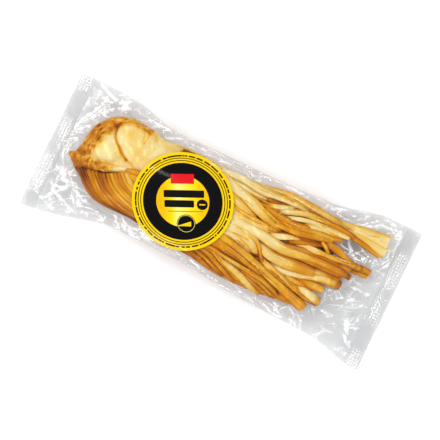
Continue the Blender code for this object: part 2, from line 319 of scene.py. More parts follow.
# Strands on top: route in plan, widths along it, how proud it lies, how pale it is along it (0 smoked, 1
# pale), and how far its start and end dive under their neighbours
topStrands = {
    "farEdge": (((-16, 35.5), (4, 36.3), (16, 37.4), (26, 38.9), (36, 40.2), (47, 41), (60, 40.3),
        (72, 39.8), (84, 39), (94, 37.4), (103, 36)), (3, 3, 3.6, 5.4, 6, 5.4, 4), 0.0, (0.88, 0.84, 0.8,
        0.76, 0.6), (0, 3)),
    "farFan": (((80, 38.4), (92, 39.8), (103, 40), (115, 40.6), (128, 41)), (3, 4.6, 7, 10, 12.5), 0.2,
        (0.66, 0.8, 0.92, 0.98), (3, 0)),
    "farFanRib": (((94, 36.8), (106, 36.2), (118, 34.8), (129.5, 33.6)), (3, 5, 6.6, 7.5), -0.1,
        (0.66, 0.86, 0.98), (2, 0)),
    "farFanUnder": (((80, 36.6), (90, 35.4), (101, 33.6), (113, 31.6), (126, 28.9)), (3.6, 4, 3.8, 3.2),
        -0.2, (0.5, 0.44, 0.46, 0.6), (2, 0)),
    "farPale": (((-16, 34.5), (0, 35.2), (10, 34.6), (20, 34.2), (30, 35.2), (40, 36.4), (50, 36.6),
        (60, 36)), (5, 5.6, 6, 5, 3.8, 3), 0.6, (1.08, 1.08, 1.0, 0.8), (0, 3)),
    "farPaleLow": (((-16, 30), (0, 30.8), (12, 29.8), (22, 29.6), (33, 30.4)), (5, 4.6, 4, 2.6), 0.2,
        (0.9, 0.95, 0.72), (0, 3)),
    "farStub": (((24, 30.4), (31, 31), (37, 32.2), (46, 34)), (2, 3, 3, 2), -0.1, (0.36, 0.22, 0.3),
        (1, 2)),
    "farThin": (((4, 27.6), (14, 27.2), (22, 27), (29, 27.6), (36, 29), (44, 31.8), (50, 34.4)), (2.5, 3,
        3, 3.6, 3), 0.5, (0.6, 0.46, 0.5, 1.0, 0.9), (3, 3)),
    "farThinLow": (((12, 25.4), (22, 25.8), (32, 25.9), (41, 26.2)), (2, 2.6, 2.6), 0.2, (0.5, 0.62),
        (2, 2)),
    "farSecond": (((34, 25.4), (40, 27), (46, 29.2), (53, 31.8), (60, 33.6), (70, 34.6), (82, 34.8),
        (95, 34), (102, 33)), (3, 4.2, 4.6, 5, 4.6, 4, 3.4), 0.9, (1.0, 0.95, 0.78, 0.66, 0.56, 0.46, 0.4),
        (4, 0)),
    "farThird": (((43, 24), (49, 25.4), (56, 27.6), (64, 29.5), (74, 30.5), (86, 31), (98.5, 31.3)),
        (2.6, 3.6, 4, 3.6, 3), 0.9, (0.95, 1.08, 0.95, 0.85, 0.95), (4, 0)),
    "farFourth": (((56, 23.6), (63, 25.6), (71, 27.4), (79, 28.7), (87, 28.6), (94, 28.8)), (2, 2.8, 3.2,
        3), 0.5, (0.75, 1.0, 0.8, 0.45), (3, 0)),
    "smokedCross": (((18, 25.6), (26, 24.4), (34, 23.4), (44, 22.4), (54, 22.4), (63, 23.6), (72, 25.6),
        (82, 27.2)), (3, 4, 5, 4.6, 4, 3.4), 0.4, (0.6, 0.54, 0.5, 0.52, 0.56, 0.6), (3, 2)),
    "smokedMiddle": (((36, 20), (46, 19.6), (56, 20.2), (66, 22.2), (76, 24), (86, 25), (94, 27.4)), (3, 4,
        4.6, 5, 4, 3.6), 0.5, (0.42, 0.4, 0.5, 0.62, 0.58, 0.46), (3, 0)),
    "smokedLong": (((38, 15.6), (48, 16.4), (58, 17.2), (68, 19.4), (78, 21.8), (87, 23.6)), (3.4, 4.2,
        4.6, 4.6, 4), 0.7, (0.62, 0.55, 0.48, 0.55, 0.5), (3, 1)),
    "smokedThin": (((50, 12.6), (60, 13.8), (70, 16), (80, 18.6), (88, 20.6)), (2.6, 3, 3, 2.6), -0.8,
        (0.3, 0.2, 0.12, 0.18), (2, 1)),
    "waistOver": (((-14, 31), (0, 27.6), (10, 25), (19, 21.8), (29, 18.4), (38, 15.6), (47, 12.6)),
        (7, 7.6, 7, 6.6, 5.6, 4), 1.2, (1.0, 1.0, 1.08, 0.95, 0.72, 0.56), (0, 4)),
    "waistOverEdge": (((-4, 30), (8, 28), (18, 25.6), (28, 22.2), (38, 19.2), (46, 17.6)), (3, 3.2, 3.2,
        2.6), 0.9, (0.85, 0.8, 0.7, 0.55), (0, 3)),
    "waistUnder": (((-14, 24), (0, 20.6), (10, 18), (18, 15.8), (27, 13)), (6.6, 6.6, 5.6, 4), 0.7,
        (0.85, 0.82, 0.76, 0.6), (0, 3.5)),
    "waistLow": (((-14, 13), (0, 13), (12, 12.2), (24, 11.7), (36, 11.6), (46, 11.2)), (4.6, 4.6, 4.2, 4,
        3.4), 0.6, (0.85, 0.85, 0.72, 0.6), (0, 3)),
    "waistLowest": (((-14, 8.4), (2, 8.6), (14, 8), (26, 8.6), (38, 8.6), (48, 9.6)), (4.6, 4.4, 4.2, 4,
        3), 0.5, (0.95, 0.95, 0.8, 0.6), (0, 3)),
    "crossPale": (((38, 6.6), (45, 7.8), (51, 10), (57, 12.2), (66, 14)), (3, 4.6, 4.6, 3.4, 2.6), 0.8,
        (0.9, 1.05, 1.0, 0.75, 0.5), (3, 2)),
    "crossBrown": (((56, 8.6), (63, 11.2), (71, 13.4), (79, 16), (87, 19)), (3, 4, 3.4, 2.6), -0.4,
        (0.4, 0.5, 0.28, 0.22), (1, 1)),
    # painted shade: a very dark strand laid low in the hollow between the strands
    "sunkShadeStrand": (((52, 8.2), (60, 9.4), (70, 12.6), (82, 15.6), (92, 17)), (7, 7, 6), -2.4, (0.12, 0.06,
        0.1), (0, 0)),
    "tornEnd": (((80, 19.4), (84, 17.4), (88.5, 13.4)), (2.6, 3, 2.6), 0.4, (0.55, 0.7, 0.5), (0, 0)),
    "middleTop": (((60, 8.6), (68, 10.6), (78, 10.9), (89, 11.5), (100, 12.6), (111, 13.7), (120, 14.4),
        (126, 13.6)), (3, 4, 4, 3.8, 4.2, 5, 5.4), 0.6, (0.8, 0.85, 0.72, 0.62, 0.62, 0.5), (3, 0)),
    "middleTopLow": (((74, 8.2), (88, 8.8), (102, 9), (114, 9.4), (125, 10.2)), (2.4, 3, 3, 3, 2.6), -0.2,
        (0.4, 0.36, 0.5, 0.6), (2, 0)),
    "middleStub": (((84, 19.8), (91, 19.6), (98, 18), (105, 16), (113, 14.8)), (4.6, 5.6, 4.6, 3, 1.6),
        -0.2, (0.4, 0.55, 0.5, 0.45), (1, 1)),
    "middleMain": (((-16, 4.6), (0, 5), (12, 4.4), (24, 3.7), (36, 3), (46, 1.8), (56, 1.2), (66, 2.4),
        (78, 4.2), (90, 4.8), (102, 4.9), (112.5, 3.8)), (5.6, 5.6, 5.8, 6.4, 7.6, 7.6, 6, 5, 5, 4.6), 1.5,
        (1.04, 1.04, 1.02, 0.96, 0.82, 0.68, 0.58, 0.5, 0.5), (0, 0)),
    "middleMainLow": (((60, -0.4), (70, 0.6), (82, 1.2), (94, 1.4), (106, 2)), (3, 4, 4.4, 4.4, 4), 0.6,
        (0.75, 0.55, 0.42, 0.33, 0.42), (3, 0)),
    "broad": (((32, -1), (38, -4.6), (46, -7.4), (56, -7.9), (66, -7.2), (76, -6), (85, -5)), (4.6, 7, 9,
        9, 8, 6.4), 1.0, (0.95, 0.95, 0.85, 0.72, 0.62, 0.55), (4, 0)),
    "broadEnd": (((80, -3.6), (90, -3.6), (98, -3), (105, -1.6)), (4, 4.6, 4.6, 4), -0.8, (0.85, 0.8, 0.6,
        0.5), (1, 0)),
    "slim": (((50, -13), (60, -13.9), (68, -13.4), (77, -11.4), (86, -8.7), (95, -6.8), (107.5, -5.7)),
        (2.6, 4, 4.4, 4.6, 5, 6, 7), 0.7, (0.9, 1.0, 0.95, 0.9, 0.72, 0.52), (3, 0)),
    "innerStub": (((72, -15.6), (80, -14.6), (88, -14.4), (97, -14.6)), (3, 4.6, 6.6, 7), -0.2, (0.55, 0.5,
        0.62, 0.66), (2, 0)),
    "innerBrown": (((62, -16.6), (72, -17.6), (82, -18), (90, -18.4)), (3, 3.6, 3.6, 3), -0.4, (0.55, 0.7,
        0.5, 0.3), (2, 2)),
    "waistNear": (((-16, 0.6), (0, -0.6), (10, -1.6), (20, -3), (29, -6), (36, -10.6), (41, -15)), (7, 7.4,
        7.6, 7, 6, 4.4), 1.0, (1.0, 0.98, 0.9, 0.84, 0.7), (0, 4)),
    "waistNearLow": (((-16, -6), (0, -5.9), (10, -6.2), (20, -8), (29, -11), (37, -14.4)), (5.4, 5.4, 5,
        4.4, 3), 0.3, (0.98, 0.95, 0.88, 0.75), (0, 3)),
    "waistFold": (((12, 1.4), (22, 0.2), (31, -1.4), (37, -6), (42, -12.6), (47, -18.4)), (3, 4, 4.6, 3.8,
        3, 2.6), 0.9, (0.95, 0.9, 0.72, 0.5, 0.5), (3, 3)),
    "nearBend": (((40, -12), (47, -15.4), (55, -17.6), (64, -20), (74, -22), (84, -24.4)), (3.6, 5, 5, 5,
        5), 0.4, (0.75, 0.7, 0.62, 0.55, 0.5), (3, 1)),
    "paleTip": (((74, -19.6), (82, -20.9), (90, -22.6), (98.5, -23.8)), (3.6, 5, 5.6, 5.6), 0.0, (0.7, 1.1,
        1.0, 0.7), (3, 0)),
    "paleTipLow": (((78, -25), (86, -26), (98, -26.6)), (3, 4, 4), -0.5, (0.5, 0.55), (2, 0)),
    "nearLong": (((-18, -11.4), (-2, -10.6), (8, -11.4), (20, -13.2), (32, -16.2), (44, -20), (56, -24),
        (68, -27.6), (79, -31), (89, -34.2)), (5, 5, 5, 5.4, 5.6, 5.6, 6.2, 7, 8), 1.3, (0.75, 0.68, 0.58,
        0.62, 0.66, 0.68, 0.62, 0.5), (0, 0)),
    "nearBroad": (((-18, -17.4), (-2, -17), (10, -17.6), (22, -19), (34, -21.2), (46, -23.6), (58, -26.4)),
        (6.6, 7, 6.6, 5.6, 4, 2.6), 0.4, (0.5, 0.5, 0.56, 0.54, 0.56), (0, 3)),
    "nearThin": (((-10, -22.4), (4, -22.6), (14, -24), (25, -25.4), (38, -26.6), (50, -28.2), (60, -31),
        (67, -34)), (2.4, 2.6, 3, 3, 3, 3, 3), 0.5, (0.5, 0.5, 0.62, 0.6, 0.6, 0.46), (0, 0)),
    "nearThinLow": (((30, -28), (40, -29.4), (50, -31), (58, -33.6), (66, -36)), (2.6, 3.2, 3.4, 3.4), 0.2,
        (0.45, 0.5, 0.5, 0.42), (2, 0)),
    "nearGold": (((28, -29.6), (38, -31.4), (47, -33.8), (55, -36), (63, -36.6)), (2.6, 3, 3.4, 3), 0.0,
        (0.4, 0.45, 0.5, 0.5), (2, 0)),
    "nearPale": (((10, -26.6), (20, -28.9), (29, -31.4), (38, -34.6), (46, -37.4), (53, -38.9)), (3, 4,
        4.6, 4.4, 3.4), 0.8, (0.6, 0.8, 0.95, 0.9, 0.66), (2, 0)),
    "nearFanA": (((-8, -22.6), (4, -24.6), (14, -28), (24, -32), (33, -35.6), (42, -38.6)), (3.4, 3.6, 3.6,
        3), 0.3, (0.45, 0.48, 0.55, 0.6), (0, 0)),
    "nearFanB": (((-8, -25.6), (3, -28), (13, -31.6), (22, -35.2), (32, -38.6)), (3.4, 3.6, 3.4), 0.2,
        (0.4, 0.44, 0.5, 0.42), (0, 0)),
    "nearFanC": (((-10, -28.6), (2, -31.4), (11, -34.8), (21, -38.4)), (3.4, 3.6, 3.2), 0.1, (0.36, 0.46,
        0.34), (0, 0)),
    "nearFanD": (((-12, -31.8), (0, -34.6), (10, -37.6)), (3.4, 3.4), 0.0, (0.34, 0.4), (0, 0)),
    "farHidden": (((-66, 35.4), (-58, 36.8), (-44, 37.9), (-28, 37), (-12, 35.6)), (3, 4, 4.4), 0.2,
        (1.0, 1.0), (4, 0)),
    "nearHidden": (((-70, -26), (-58, -27.4), (-38, -30.4), (-16, -32.6), (0, -33.6)), (5, 5), -0.4,
        (0.34, 0.4), (2, 0)),
    "foldFillLow": (((-88, 0), (-80, 0.4), (-71, 0.2), (-56, -1.4)), (3.4, 4.8, 5), 0.2, (0.6, 0.7),
        (2, 0)),
    "foldFillLast": (((-86, -2), (-79, -2.4), (-71, -4), (-58, -6.4)), (3.4, 4.4, 5), 0.0, (0.5, 0.62),
        (2, 0)),
    "middleFill": (((56, 5.4), (66, 6.6), (78, 7.4), (92, 7.8)), (3, 3.4, 3), -0.8, (0.5, 0.4), (1, 1)),
    "foldFill": (((-84, 2.6), (-78, 4.4), (-66, 5.4), (-52, 5)), (3.4, 4.6, 5), 0.4, (0.5, 0.7), (2, 0)),
}

# The fan of strands that comes out from under the head's fold: the two outside ones and one between, and the
# rest are spread among them
headFan = {
    "count": 14,
    "proud": (-0.1, 0.6),      # every other strand stands higher
    "dives": (-1.4, 0),        # they start high, against the lip
    "varies": 0.12,
    "smoke": 0.34,             # the outside took the most
    "first": ((-120, -11), (-111, -17.5), (-103, -24), (-92, -27.4), (-78, -27.4), (-60, -26.5)),
    "middle": ((-99, -7.6), (-95.5, -12), (-90, -16.4), (-82, -20.4), (-72, -23.2), (-56, -25)),
    "last": ((-82, 0.8), (-78, -3), (-74, -5.4), (-68, -7.4), (-60, -9.4), (-50, -12)),
    "middleAt": 0.5,
    "widths": (2.6, 3.6, 4.2, 4.6),
    "pale": (0.56, 0.70, 0.62),
}

# Strands round the sides and the belly, laid round the cross-section with a slow twist
wrapStrands = {
    "count": 32,
    "from": -205.0,        # degrees, over the near side, the belly and the far side
    "to": 25.0,
    "drift": (13.0, 60.0),     # degrees, and over what length
    "tuckedFrom": -60.0,   # those past this start under the head's dome, where the far side took less smoke
    "tuck": 62.0,
    "tuckedPaler": 0.22,
    "pale": ((0.3, 0.6), (0.35, 0.7)),
    "points": 24,
    "inset": 2.2,
    "width": (5.5, 7.5),
    "start": (-112, -96),
    "end": (56, 88),
}

# painted shade: the strands deep in the bundle, seen only through gaps between the top strands, have dark
# tones
underStrands = {
    "count": 17,
    "depth": 2.6,
    "width": (5.5, 7.5),
    "start": -50,
    "end": (64, 88),
    "margin": 4.0,
    "sway": 0.02,
    "pale": (0.12, 0.3),
    "points": 24,
    "lowest": 4.0,
}


def spread(values, share):  # values that stand evenly along a strand, read at any share of it
    return np.interp(share, np.linspace(0, 1, len(values)), values)


fibreShape = {
    "each": 3,
    "start": (0, 0.5),     # shares of the strand's length
    "length": (0.3, 0.5),
    "fewest": 6,           # points on a line that is long enough to lay
    "width": (0.9, 1.7),
    "sides": 8,
    "sink": 0.3,
    "reach": 0.75,         # how far out from the strand's middle line
    "shades": (-0.22, 0.18),
}


def buildProfiles(count, sides):  # cross-sections of a strand, each with its own grooves between the fibres
    made = []
    rng = random.Random(3)
    for _ in range(count):
        clearSelection()
        bpy.ops.curve.primitive_bezier_circle_add(radius=1)
        profile = bpy.context.object
        bpy.ops.object.mode_set(mode="EDIT")
        bpy.ops.curve.select_all(action="SELECT")
        bpy.ops.curve.subdivide(number_cuts=sides // 4 - 1)
        bpy.ops.curve.handle_type_set(type="AUTOMATIC")
        bpy.ops.object.mode_set(mode="OBJECT")
        profile.data.resolution_u = 1
        turns = [rng.uniform(0, math.tau) for _ in strandShape["ripples"]]
        for point in profile.data.splines[0].bezier_points:
            angle = math.atan2(point.co.y, point.co.x)
            grow = 1 + sum(size * math.sin(waves * angle + turn)
                           for (waves, size), turn in zip(strandShape["ripples"], turns))
            point.co.x *= grow
            point.co.y *= grow * strandShape["flatness"]
        made.append(profile)
    return made


def layStrand(name, points, widths, pale, profile, seed):  # points in mm, with their heights
    rng = random.Random(seed)
    count = len(points)
    share = np.linspace(0, 1, count)
    half = strandShape["widen"] * spread(widths, share) / 2
    swell = 1 + strandShape["swell"] * np.sin(share * rng.uniform(5, 9) + rng.uniform(0, 6))
    turn = np.radians(strandShape["twist"]) * np.sin(share * rng.uniform(2, 5) + rng.uniform(0, 6))
    clearSelection()
    bpy.ops.curve.primitive_nurbs_path_add()
    strand = bpy.context.object
    curve = strand.data
    spline = curve.splines[0]
    spline.points.add(count - len(spline.points))
    for i, point in enumerate(spline.points):
        point.co = (*(points[i] * mm), 1)
        point.radius = half[i] * swell[i] * mm
        point.tilt = turn[i]
    spline.order_u = 4
    curve.bevel_mode = "OBJECT"
    curve.bevel_object = profile
    curve.use_fill_caps = True
    curve.twist_mode = "Z_UP"
    curve.resolution_u = 3
    bpy.ops.object.convert(target="MESH")
    strand = bpy.context.object
    strand.name = name
    applyPlace(strand)
    bpy.ops.object.mode_set(mode="EDIT")
    bpy.ops.mesh.select_all(action="SELECT")
    bpy.ops.mesh.remove_doubles(threshold=0.02 * mm)
    bpy.ops.mesh.normals_make_consistent(inside=False)
    bpy.ops.object.mode_set(mode="OBJECT")
    applyModifier(strand, "BEVEL", width=strandShape["cutRound"] * mm, segments=2, limit_method="ANGLE",
                  angle_limit=math.radians(55))

    # how far along and round the strand each vertex is, from its own place on the nearest step of the route
    skin = readPoints(strand)
    nearest = np.linalg.norm(skin[:, None, :] - points[None, :, :], axis=2).argmin(axis=1)
    steps = np.diff(points, axis=0)
    steps = np.vstack([steps, steps[-1]])
    lengths = np.linalg.norm(steps, axis=1)
    travelled = np.concatenate([[0], np.cumsum(lengths[:-1])])
    off = skin - points[nearest]
    along = travelled[nearest] + (off * steps[nearest]).sum(axis=1) / lengths[nearest]
    side = np.column_stack([-steps[:, 1], steps[:, 0]])
    side = side / np.maximum(np.hypot(steps[:, 0], steps[:, 1]), 1e-6)[:, None]
    angle = np.arctan2(off[:, 2], (off[:, :2] * side[nearest]).sum(axis=1))
    shift = rng.uniform(0, 500)
    fibreLength, fibresRound = strandShape["grain"]
    grain = np.column_stack([along / fibreLength + shift, fibresRound * np.cos(angle),
                             fibresRound * np.sin(angle)])

    tone = spread(pale, np.clip(along / travelled[-1], 0, 1))
    top, fall = strandShape["ridge"]
    tone = tone - strandShape["edgeShade"] * ease((top - np.sin(angle)) / fall)   # painted shade: darker towards its sides, where it meets its neighbours, and palest along its ridge
    lump = np.array([noise.noise(Vector(p / strandShape["lumpSize"] + shift)) for p in skin])
    fine = np.array([noise.noise(Vector(g)) for g in grain * strandShape["splitGrain"]])
    move = strandShape["lump"] * lump + strandShape["split"] * fine
    writePoints(strand, settled(skin + readVectors(strand, "normal") * move[:, None]))
    writeValues(strand, "tone", np.clip(tone + strandShape["lumpTone"] * lump, 0, 1))
    writeValues(strand, "grain", grain)
    for layer in list(strand.data.uv_layers):
        strand.data.uv_layers.remove(layer)
    return strand


def onTop(route, width, proud, dives=(0, 0)):  # a route lifted to lie on the bundle's back
    flat = pathThrough([(*point, 0) for point in route])
    thick = width * strandShape["flatness"]
    share = np.linspace(0, 1, len(flat)) / strandShape["diveShare"]
    last = 1 / strandShape["diveShare"] - 1
    dive = dives[0] * (1 - ease(share)) + dives[1] * ease(share - last)
    height = crownHeight(flat[:, 0], flat[:, 1]) - thick / 2 + proud - dive
    flat[:, 2] = np.maximum(height, bundle["foot"] + thick / 2)
    return flat


def buildFibres():  # thin fibres that have split from the top strands and lie along them
    profile = buildProfiles(1, fibreShape["sides"])[0]
    rng = random.Random(17)
    made = []
    for route, widths, proud, pale, dives in topStrands.values():
        points = onTop(route, sum(widths) / len(widths), proud, dives)
        for _ in range(fibreShape["each"]):
            first = rng.uniform(*fibreShape["start"])
            last = first + rng.uniform(*fibreShape["length"])
            line = points[round(first * len(points)):round(last * len(points))]
            start, end = (rng.uniform(-1, 1) * fibreShape["reach"] for _ in range(2))
            width, shade = rng.uniform(*fibreShape["width"]), rng.choice(fibreShape["shades"])
            if len(line) < fibreShape["fewest"]:
                continue
            share = np.linspace(first, last, len(line))
            half = strandShape["widen"] * spread(widths, share) / 2
            off = start + (end - start) * np.linspace(0, 1, len(line))
            ahead = np.gradient(line[:, :2], axis=0)
            ahead = ahead / np.hypot(ahead[:, 0], ahead[:, 1])[:, None]
            rise = strandShape["flatness"] * half * np.sqrt(1 - off ** 2) - fibreShape["sink"]
            place = line + np.column_stack([-ahead[:, 1] * off * half, ahead[:, 0] * off * half, rise])
            made.append(layStrand("fibre", place, (width / 2, width, width / 2), spread(pale, share) + shade,
                                  profile, 400 + len(made)))
    bpy.data.objects.remove(profile)
    return joinAll(made, "cheese_loose_fibres")


def buildStrands():
    profiles = buildProfiles(strandShape["profiles"], strandShape["sides"])
    top, under = [], []
    for i, (name, (route, widths, proud, pale, dives)) in enumerate(topStrands.items()):
        points = onTop(route, sum(widths) / len(widths), proud, dives)
        top.append(layStrand(name, points, widths, pale, profiles[i % len(profiles)], i))

    first, middle, last = (np.array(headFan[key], float) for key in ("first", "middle", "last"))
    for i in range(headFan["count"]):
        share = i / (headFan["count"] - 1)
        if share < headFan["middleAt"]:
            route = first + (middle - first) * share / headFan["middleAt"]
        else:
            route = middle + (last - middle) * (share - headFan["middleAt"]) / (1 - headFan["middleAt"])
        shade = headFan["varies"] * math.sin(5 * i) - headFan["smoke"] * (1 - share)
        points = onTop(route, headFan["widths"][-1], headFan["proud"][i % 2], headFan["dives"])
        top.append(layStrand(f"fan{i}", points, headFan["widths"], [v + shade for v in headFan["pale"]],
                             profiles[i % len(profiles)], 100 + i))

    rng = random.Random(11)
    driftTurn, driftLength = wrapStrands["drift"]
    for i in range(wrapStrands["count"]):
        start, end, width = (rng.uniform(*wrapStrands[key]) for key in ("start", "end", "width"))
        turn = wrapStrands["to"] - wrapStrands["from"]
        centre = wrapStrands["from"] + turn * i / (wrapStrands["count"] - 1)
        tucked = centre > wrapStrands["tuckedFrom"]
        x = np.linspace(start + wrapStrands["tuck"] * tucked, end, wrapStrands["points"])
        angle = np.radians(centre + driftTurn * np.sin((x + 100) / driftLength + i * 0.7))
        y, z = roundSection(x, angle, width * strandShape["flatness"] / 2 + wrapStrands["inset"])
        pale = [rng.uniform(*limits) + wrapStrands["tuckedPaler"] * tucked for limits in wrapStrands["pale"]]
        under.append(layStrand(f"wrap{i}", np.column_stack([x, y, z]), (width, width), pale,
                               profiles[i % len(profiles)], 200 + i))

    margin = underStrands["margin"]
    for i in range(underStrands["count"]):
        share = (i + 0.5) / underStrands["count"]
        end, width = (rng.uniform(*underStrands[key]) for key in ("end", "width"))
        x = np.linspace(underStrands["start"], end, underStrands["points"])
        far, near = eased(bundle["farSide"], x), eased(bundle["nearSide"], x)
        y = near + margin + (far - near - 2 * margin) * (share + underStrands["sway"] * np.sin(x / 20 + i))
        z = crownHeight(x, y) - underStrands["depth"] - width * strandShape["flatness"] / 2
        pale = [rng.uniform(*underStrands["pale"]) for _ in range(2)]
        points = np.column_stack([x, y, np.maximum(z, underStrands["lowest"])])
        under.append(layStrand(f"under{i}", points, (width, width), pale,
                               profiles[i % len(profiles)], 300 + i))
    for profile in profiles:
        bpy.data.objects.remove(profile)
    return joinAll(top, "cheese_top_strands"), joinAll(under, "cheese_inner_strands")


topPiece, underPiece = buildStrands()
fibrePiece = buildFibres()
print("strands done:", *(len(piece.data.polygons) for piece in (topPiece, underPiece, fibrePiece)))

headLobes = {   # centre, half sizes, turn in degrees about Z
    "broad": ((-80, 22, 17.2), (26, 18.8, 12.6), -8),
    "front": ((-101, 12.5, 16), (15, 13.8, 12), 25),
    "rear": ((-61, 14, 18.5), (25, 24, 12.5), 0),
    "base": ((-94, 10, 11.5), (27, 30, 10.5), -8),
    "throat": ((-84, -10, 11), (30, 16, 10.5), -10),
    "underLip": ((-88, 5, 16), (17, 6.6, 9.6), 24),
    "web": ((-113.5, -8, 9.5), (14.5, 8.6, 8.5), -26),
}
headRolls = {   # route with heights, radius along it
    "smokedRim": (((-124, -3, 10), (-119.5, 7, 13), (-118, 18, 14.5), (-113, 27, 15.5), (-106, 34, 16),
                   (-98, 38.6, 15), (-89, 39.6, 13), (-80, 38.4, 12)),
                  (2.6, 4.4, 4.8, 5.2, 4.6, 3.8, 2.6, 1.6)),
    "lowerLip": (((-130.4, -3.6, 8.5), (-125, -4.8, 10.5), (-119, -5.4, 15.5), (-108, -4.4, 22),
                  (-97, -2, 25.4), (-87, 0.8, 26.4), (-76, 7.5, 27)),
                 (0.9, 4.2, 5.6, 5, 3.6, 2.6, 2.4)),
}
headLook = {
    "voxel": 0.72,
    "middle": (-94, 10),
    "torn": (25, 1.9, 1.3),        # radius that turns an angle to a length, then stretch round and up
    "fleckSize": 2.0,
    "crinkleSize": 3.6,
    "swellSize": 14.0,
    "crinkle": 1.5,                # how far the crinkles and the swell move the skin
    "swell": 0.5,
    "rim": {"reach": 5.2, "less": 3.6, "lessFrom": -112, "lessOver": 16, "fray": 2.4, "fade": 5},
    "lip": {"reach": 2.4, "end": -90, "endFade": 9, "fray": 2, "fade": 4},      # smoked at its outer end
    "web": {"x": -98, "xFade": 6, "y": -5, "yFade": 3, "fray": 1.5, "tone": (0.34, 0.07)},
    "frayGrain": (4, 4, 6),
    "pale": (0.97, 0.16, -0.14),   # tone of the pale skin, by its swell and by the painted shade next to the rim
    "smoked": (0.41, 0.11, 0.04, 0.09, -0.09),      # by lip, far side, flecks and crinkles; the crinkle term is painted light, paler on ridges, darker in hollows
    "farFrom": (24, 10),
    "low": (0.40, 14, 9),          # tone near the table, from what height down, and over how much of it
    # painted shade beside the creases: how much it darkens, and how far it reaches
    "creaseShade": (0.10, 3.5),
    "creasesFrom": (12, 4),
}
headCreases = (   # route in plan, half width, depth, how much painted shade darkens it
    (((-100, 41), (-103, 35), (-104.5, 28), (-101.5, 22), (-96, 17), (-91, 12), (-87, 9.6)), 1.1, 1.4, 0.5),
    (((-87, 9.6), (-82, 8.8), (-77, 6.6)), 0.9, 0.7, 0.22),
    (((-81, 40), (-78.6, 34), (-79.4, 28)), 0.8, 0.5, 0.24),
    (((-85, 39), (-82.4, 34.6), (-81.2, 30)), 0.7, 0.4, 0.2),
    (((-74, 38), (-72, 34)), 0.8, 0.4, 0.16),
)


def awayFrom(route, points):  # distance in plan from each point to a route
    line = pathThrough([(*p[:2], 0) for p in route], 1.5)
    off = points[:, None, :2] - line[None, :, :2]
    return np.hypot(off[:, :, 0], off[:, :, 1]).min(axis=1)


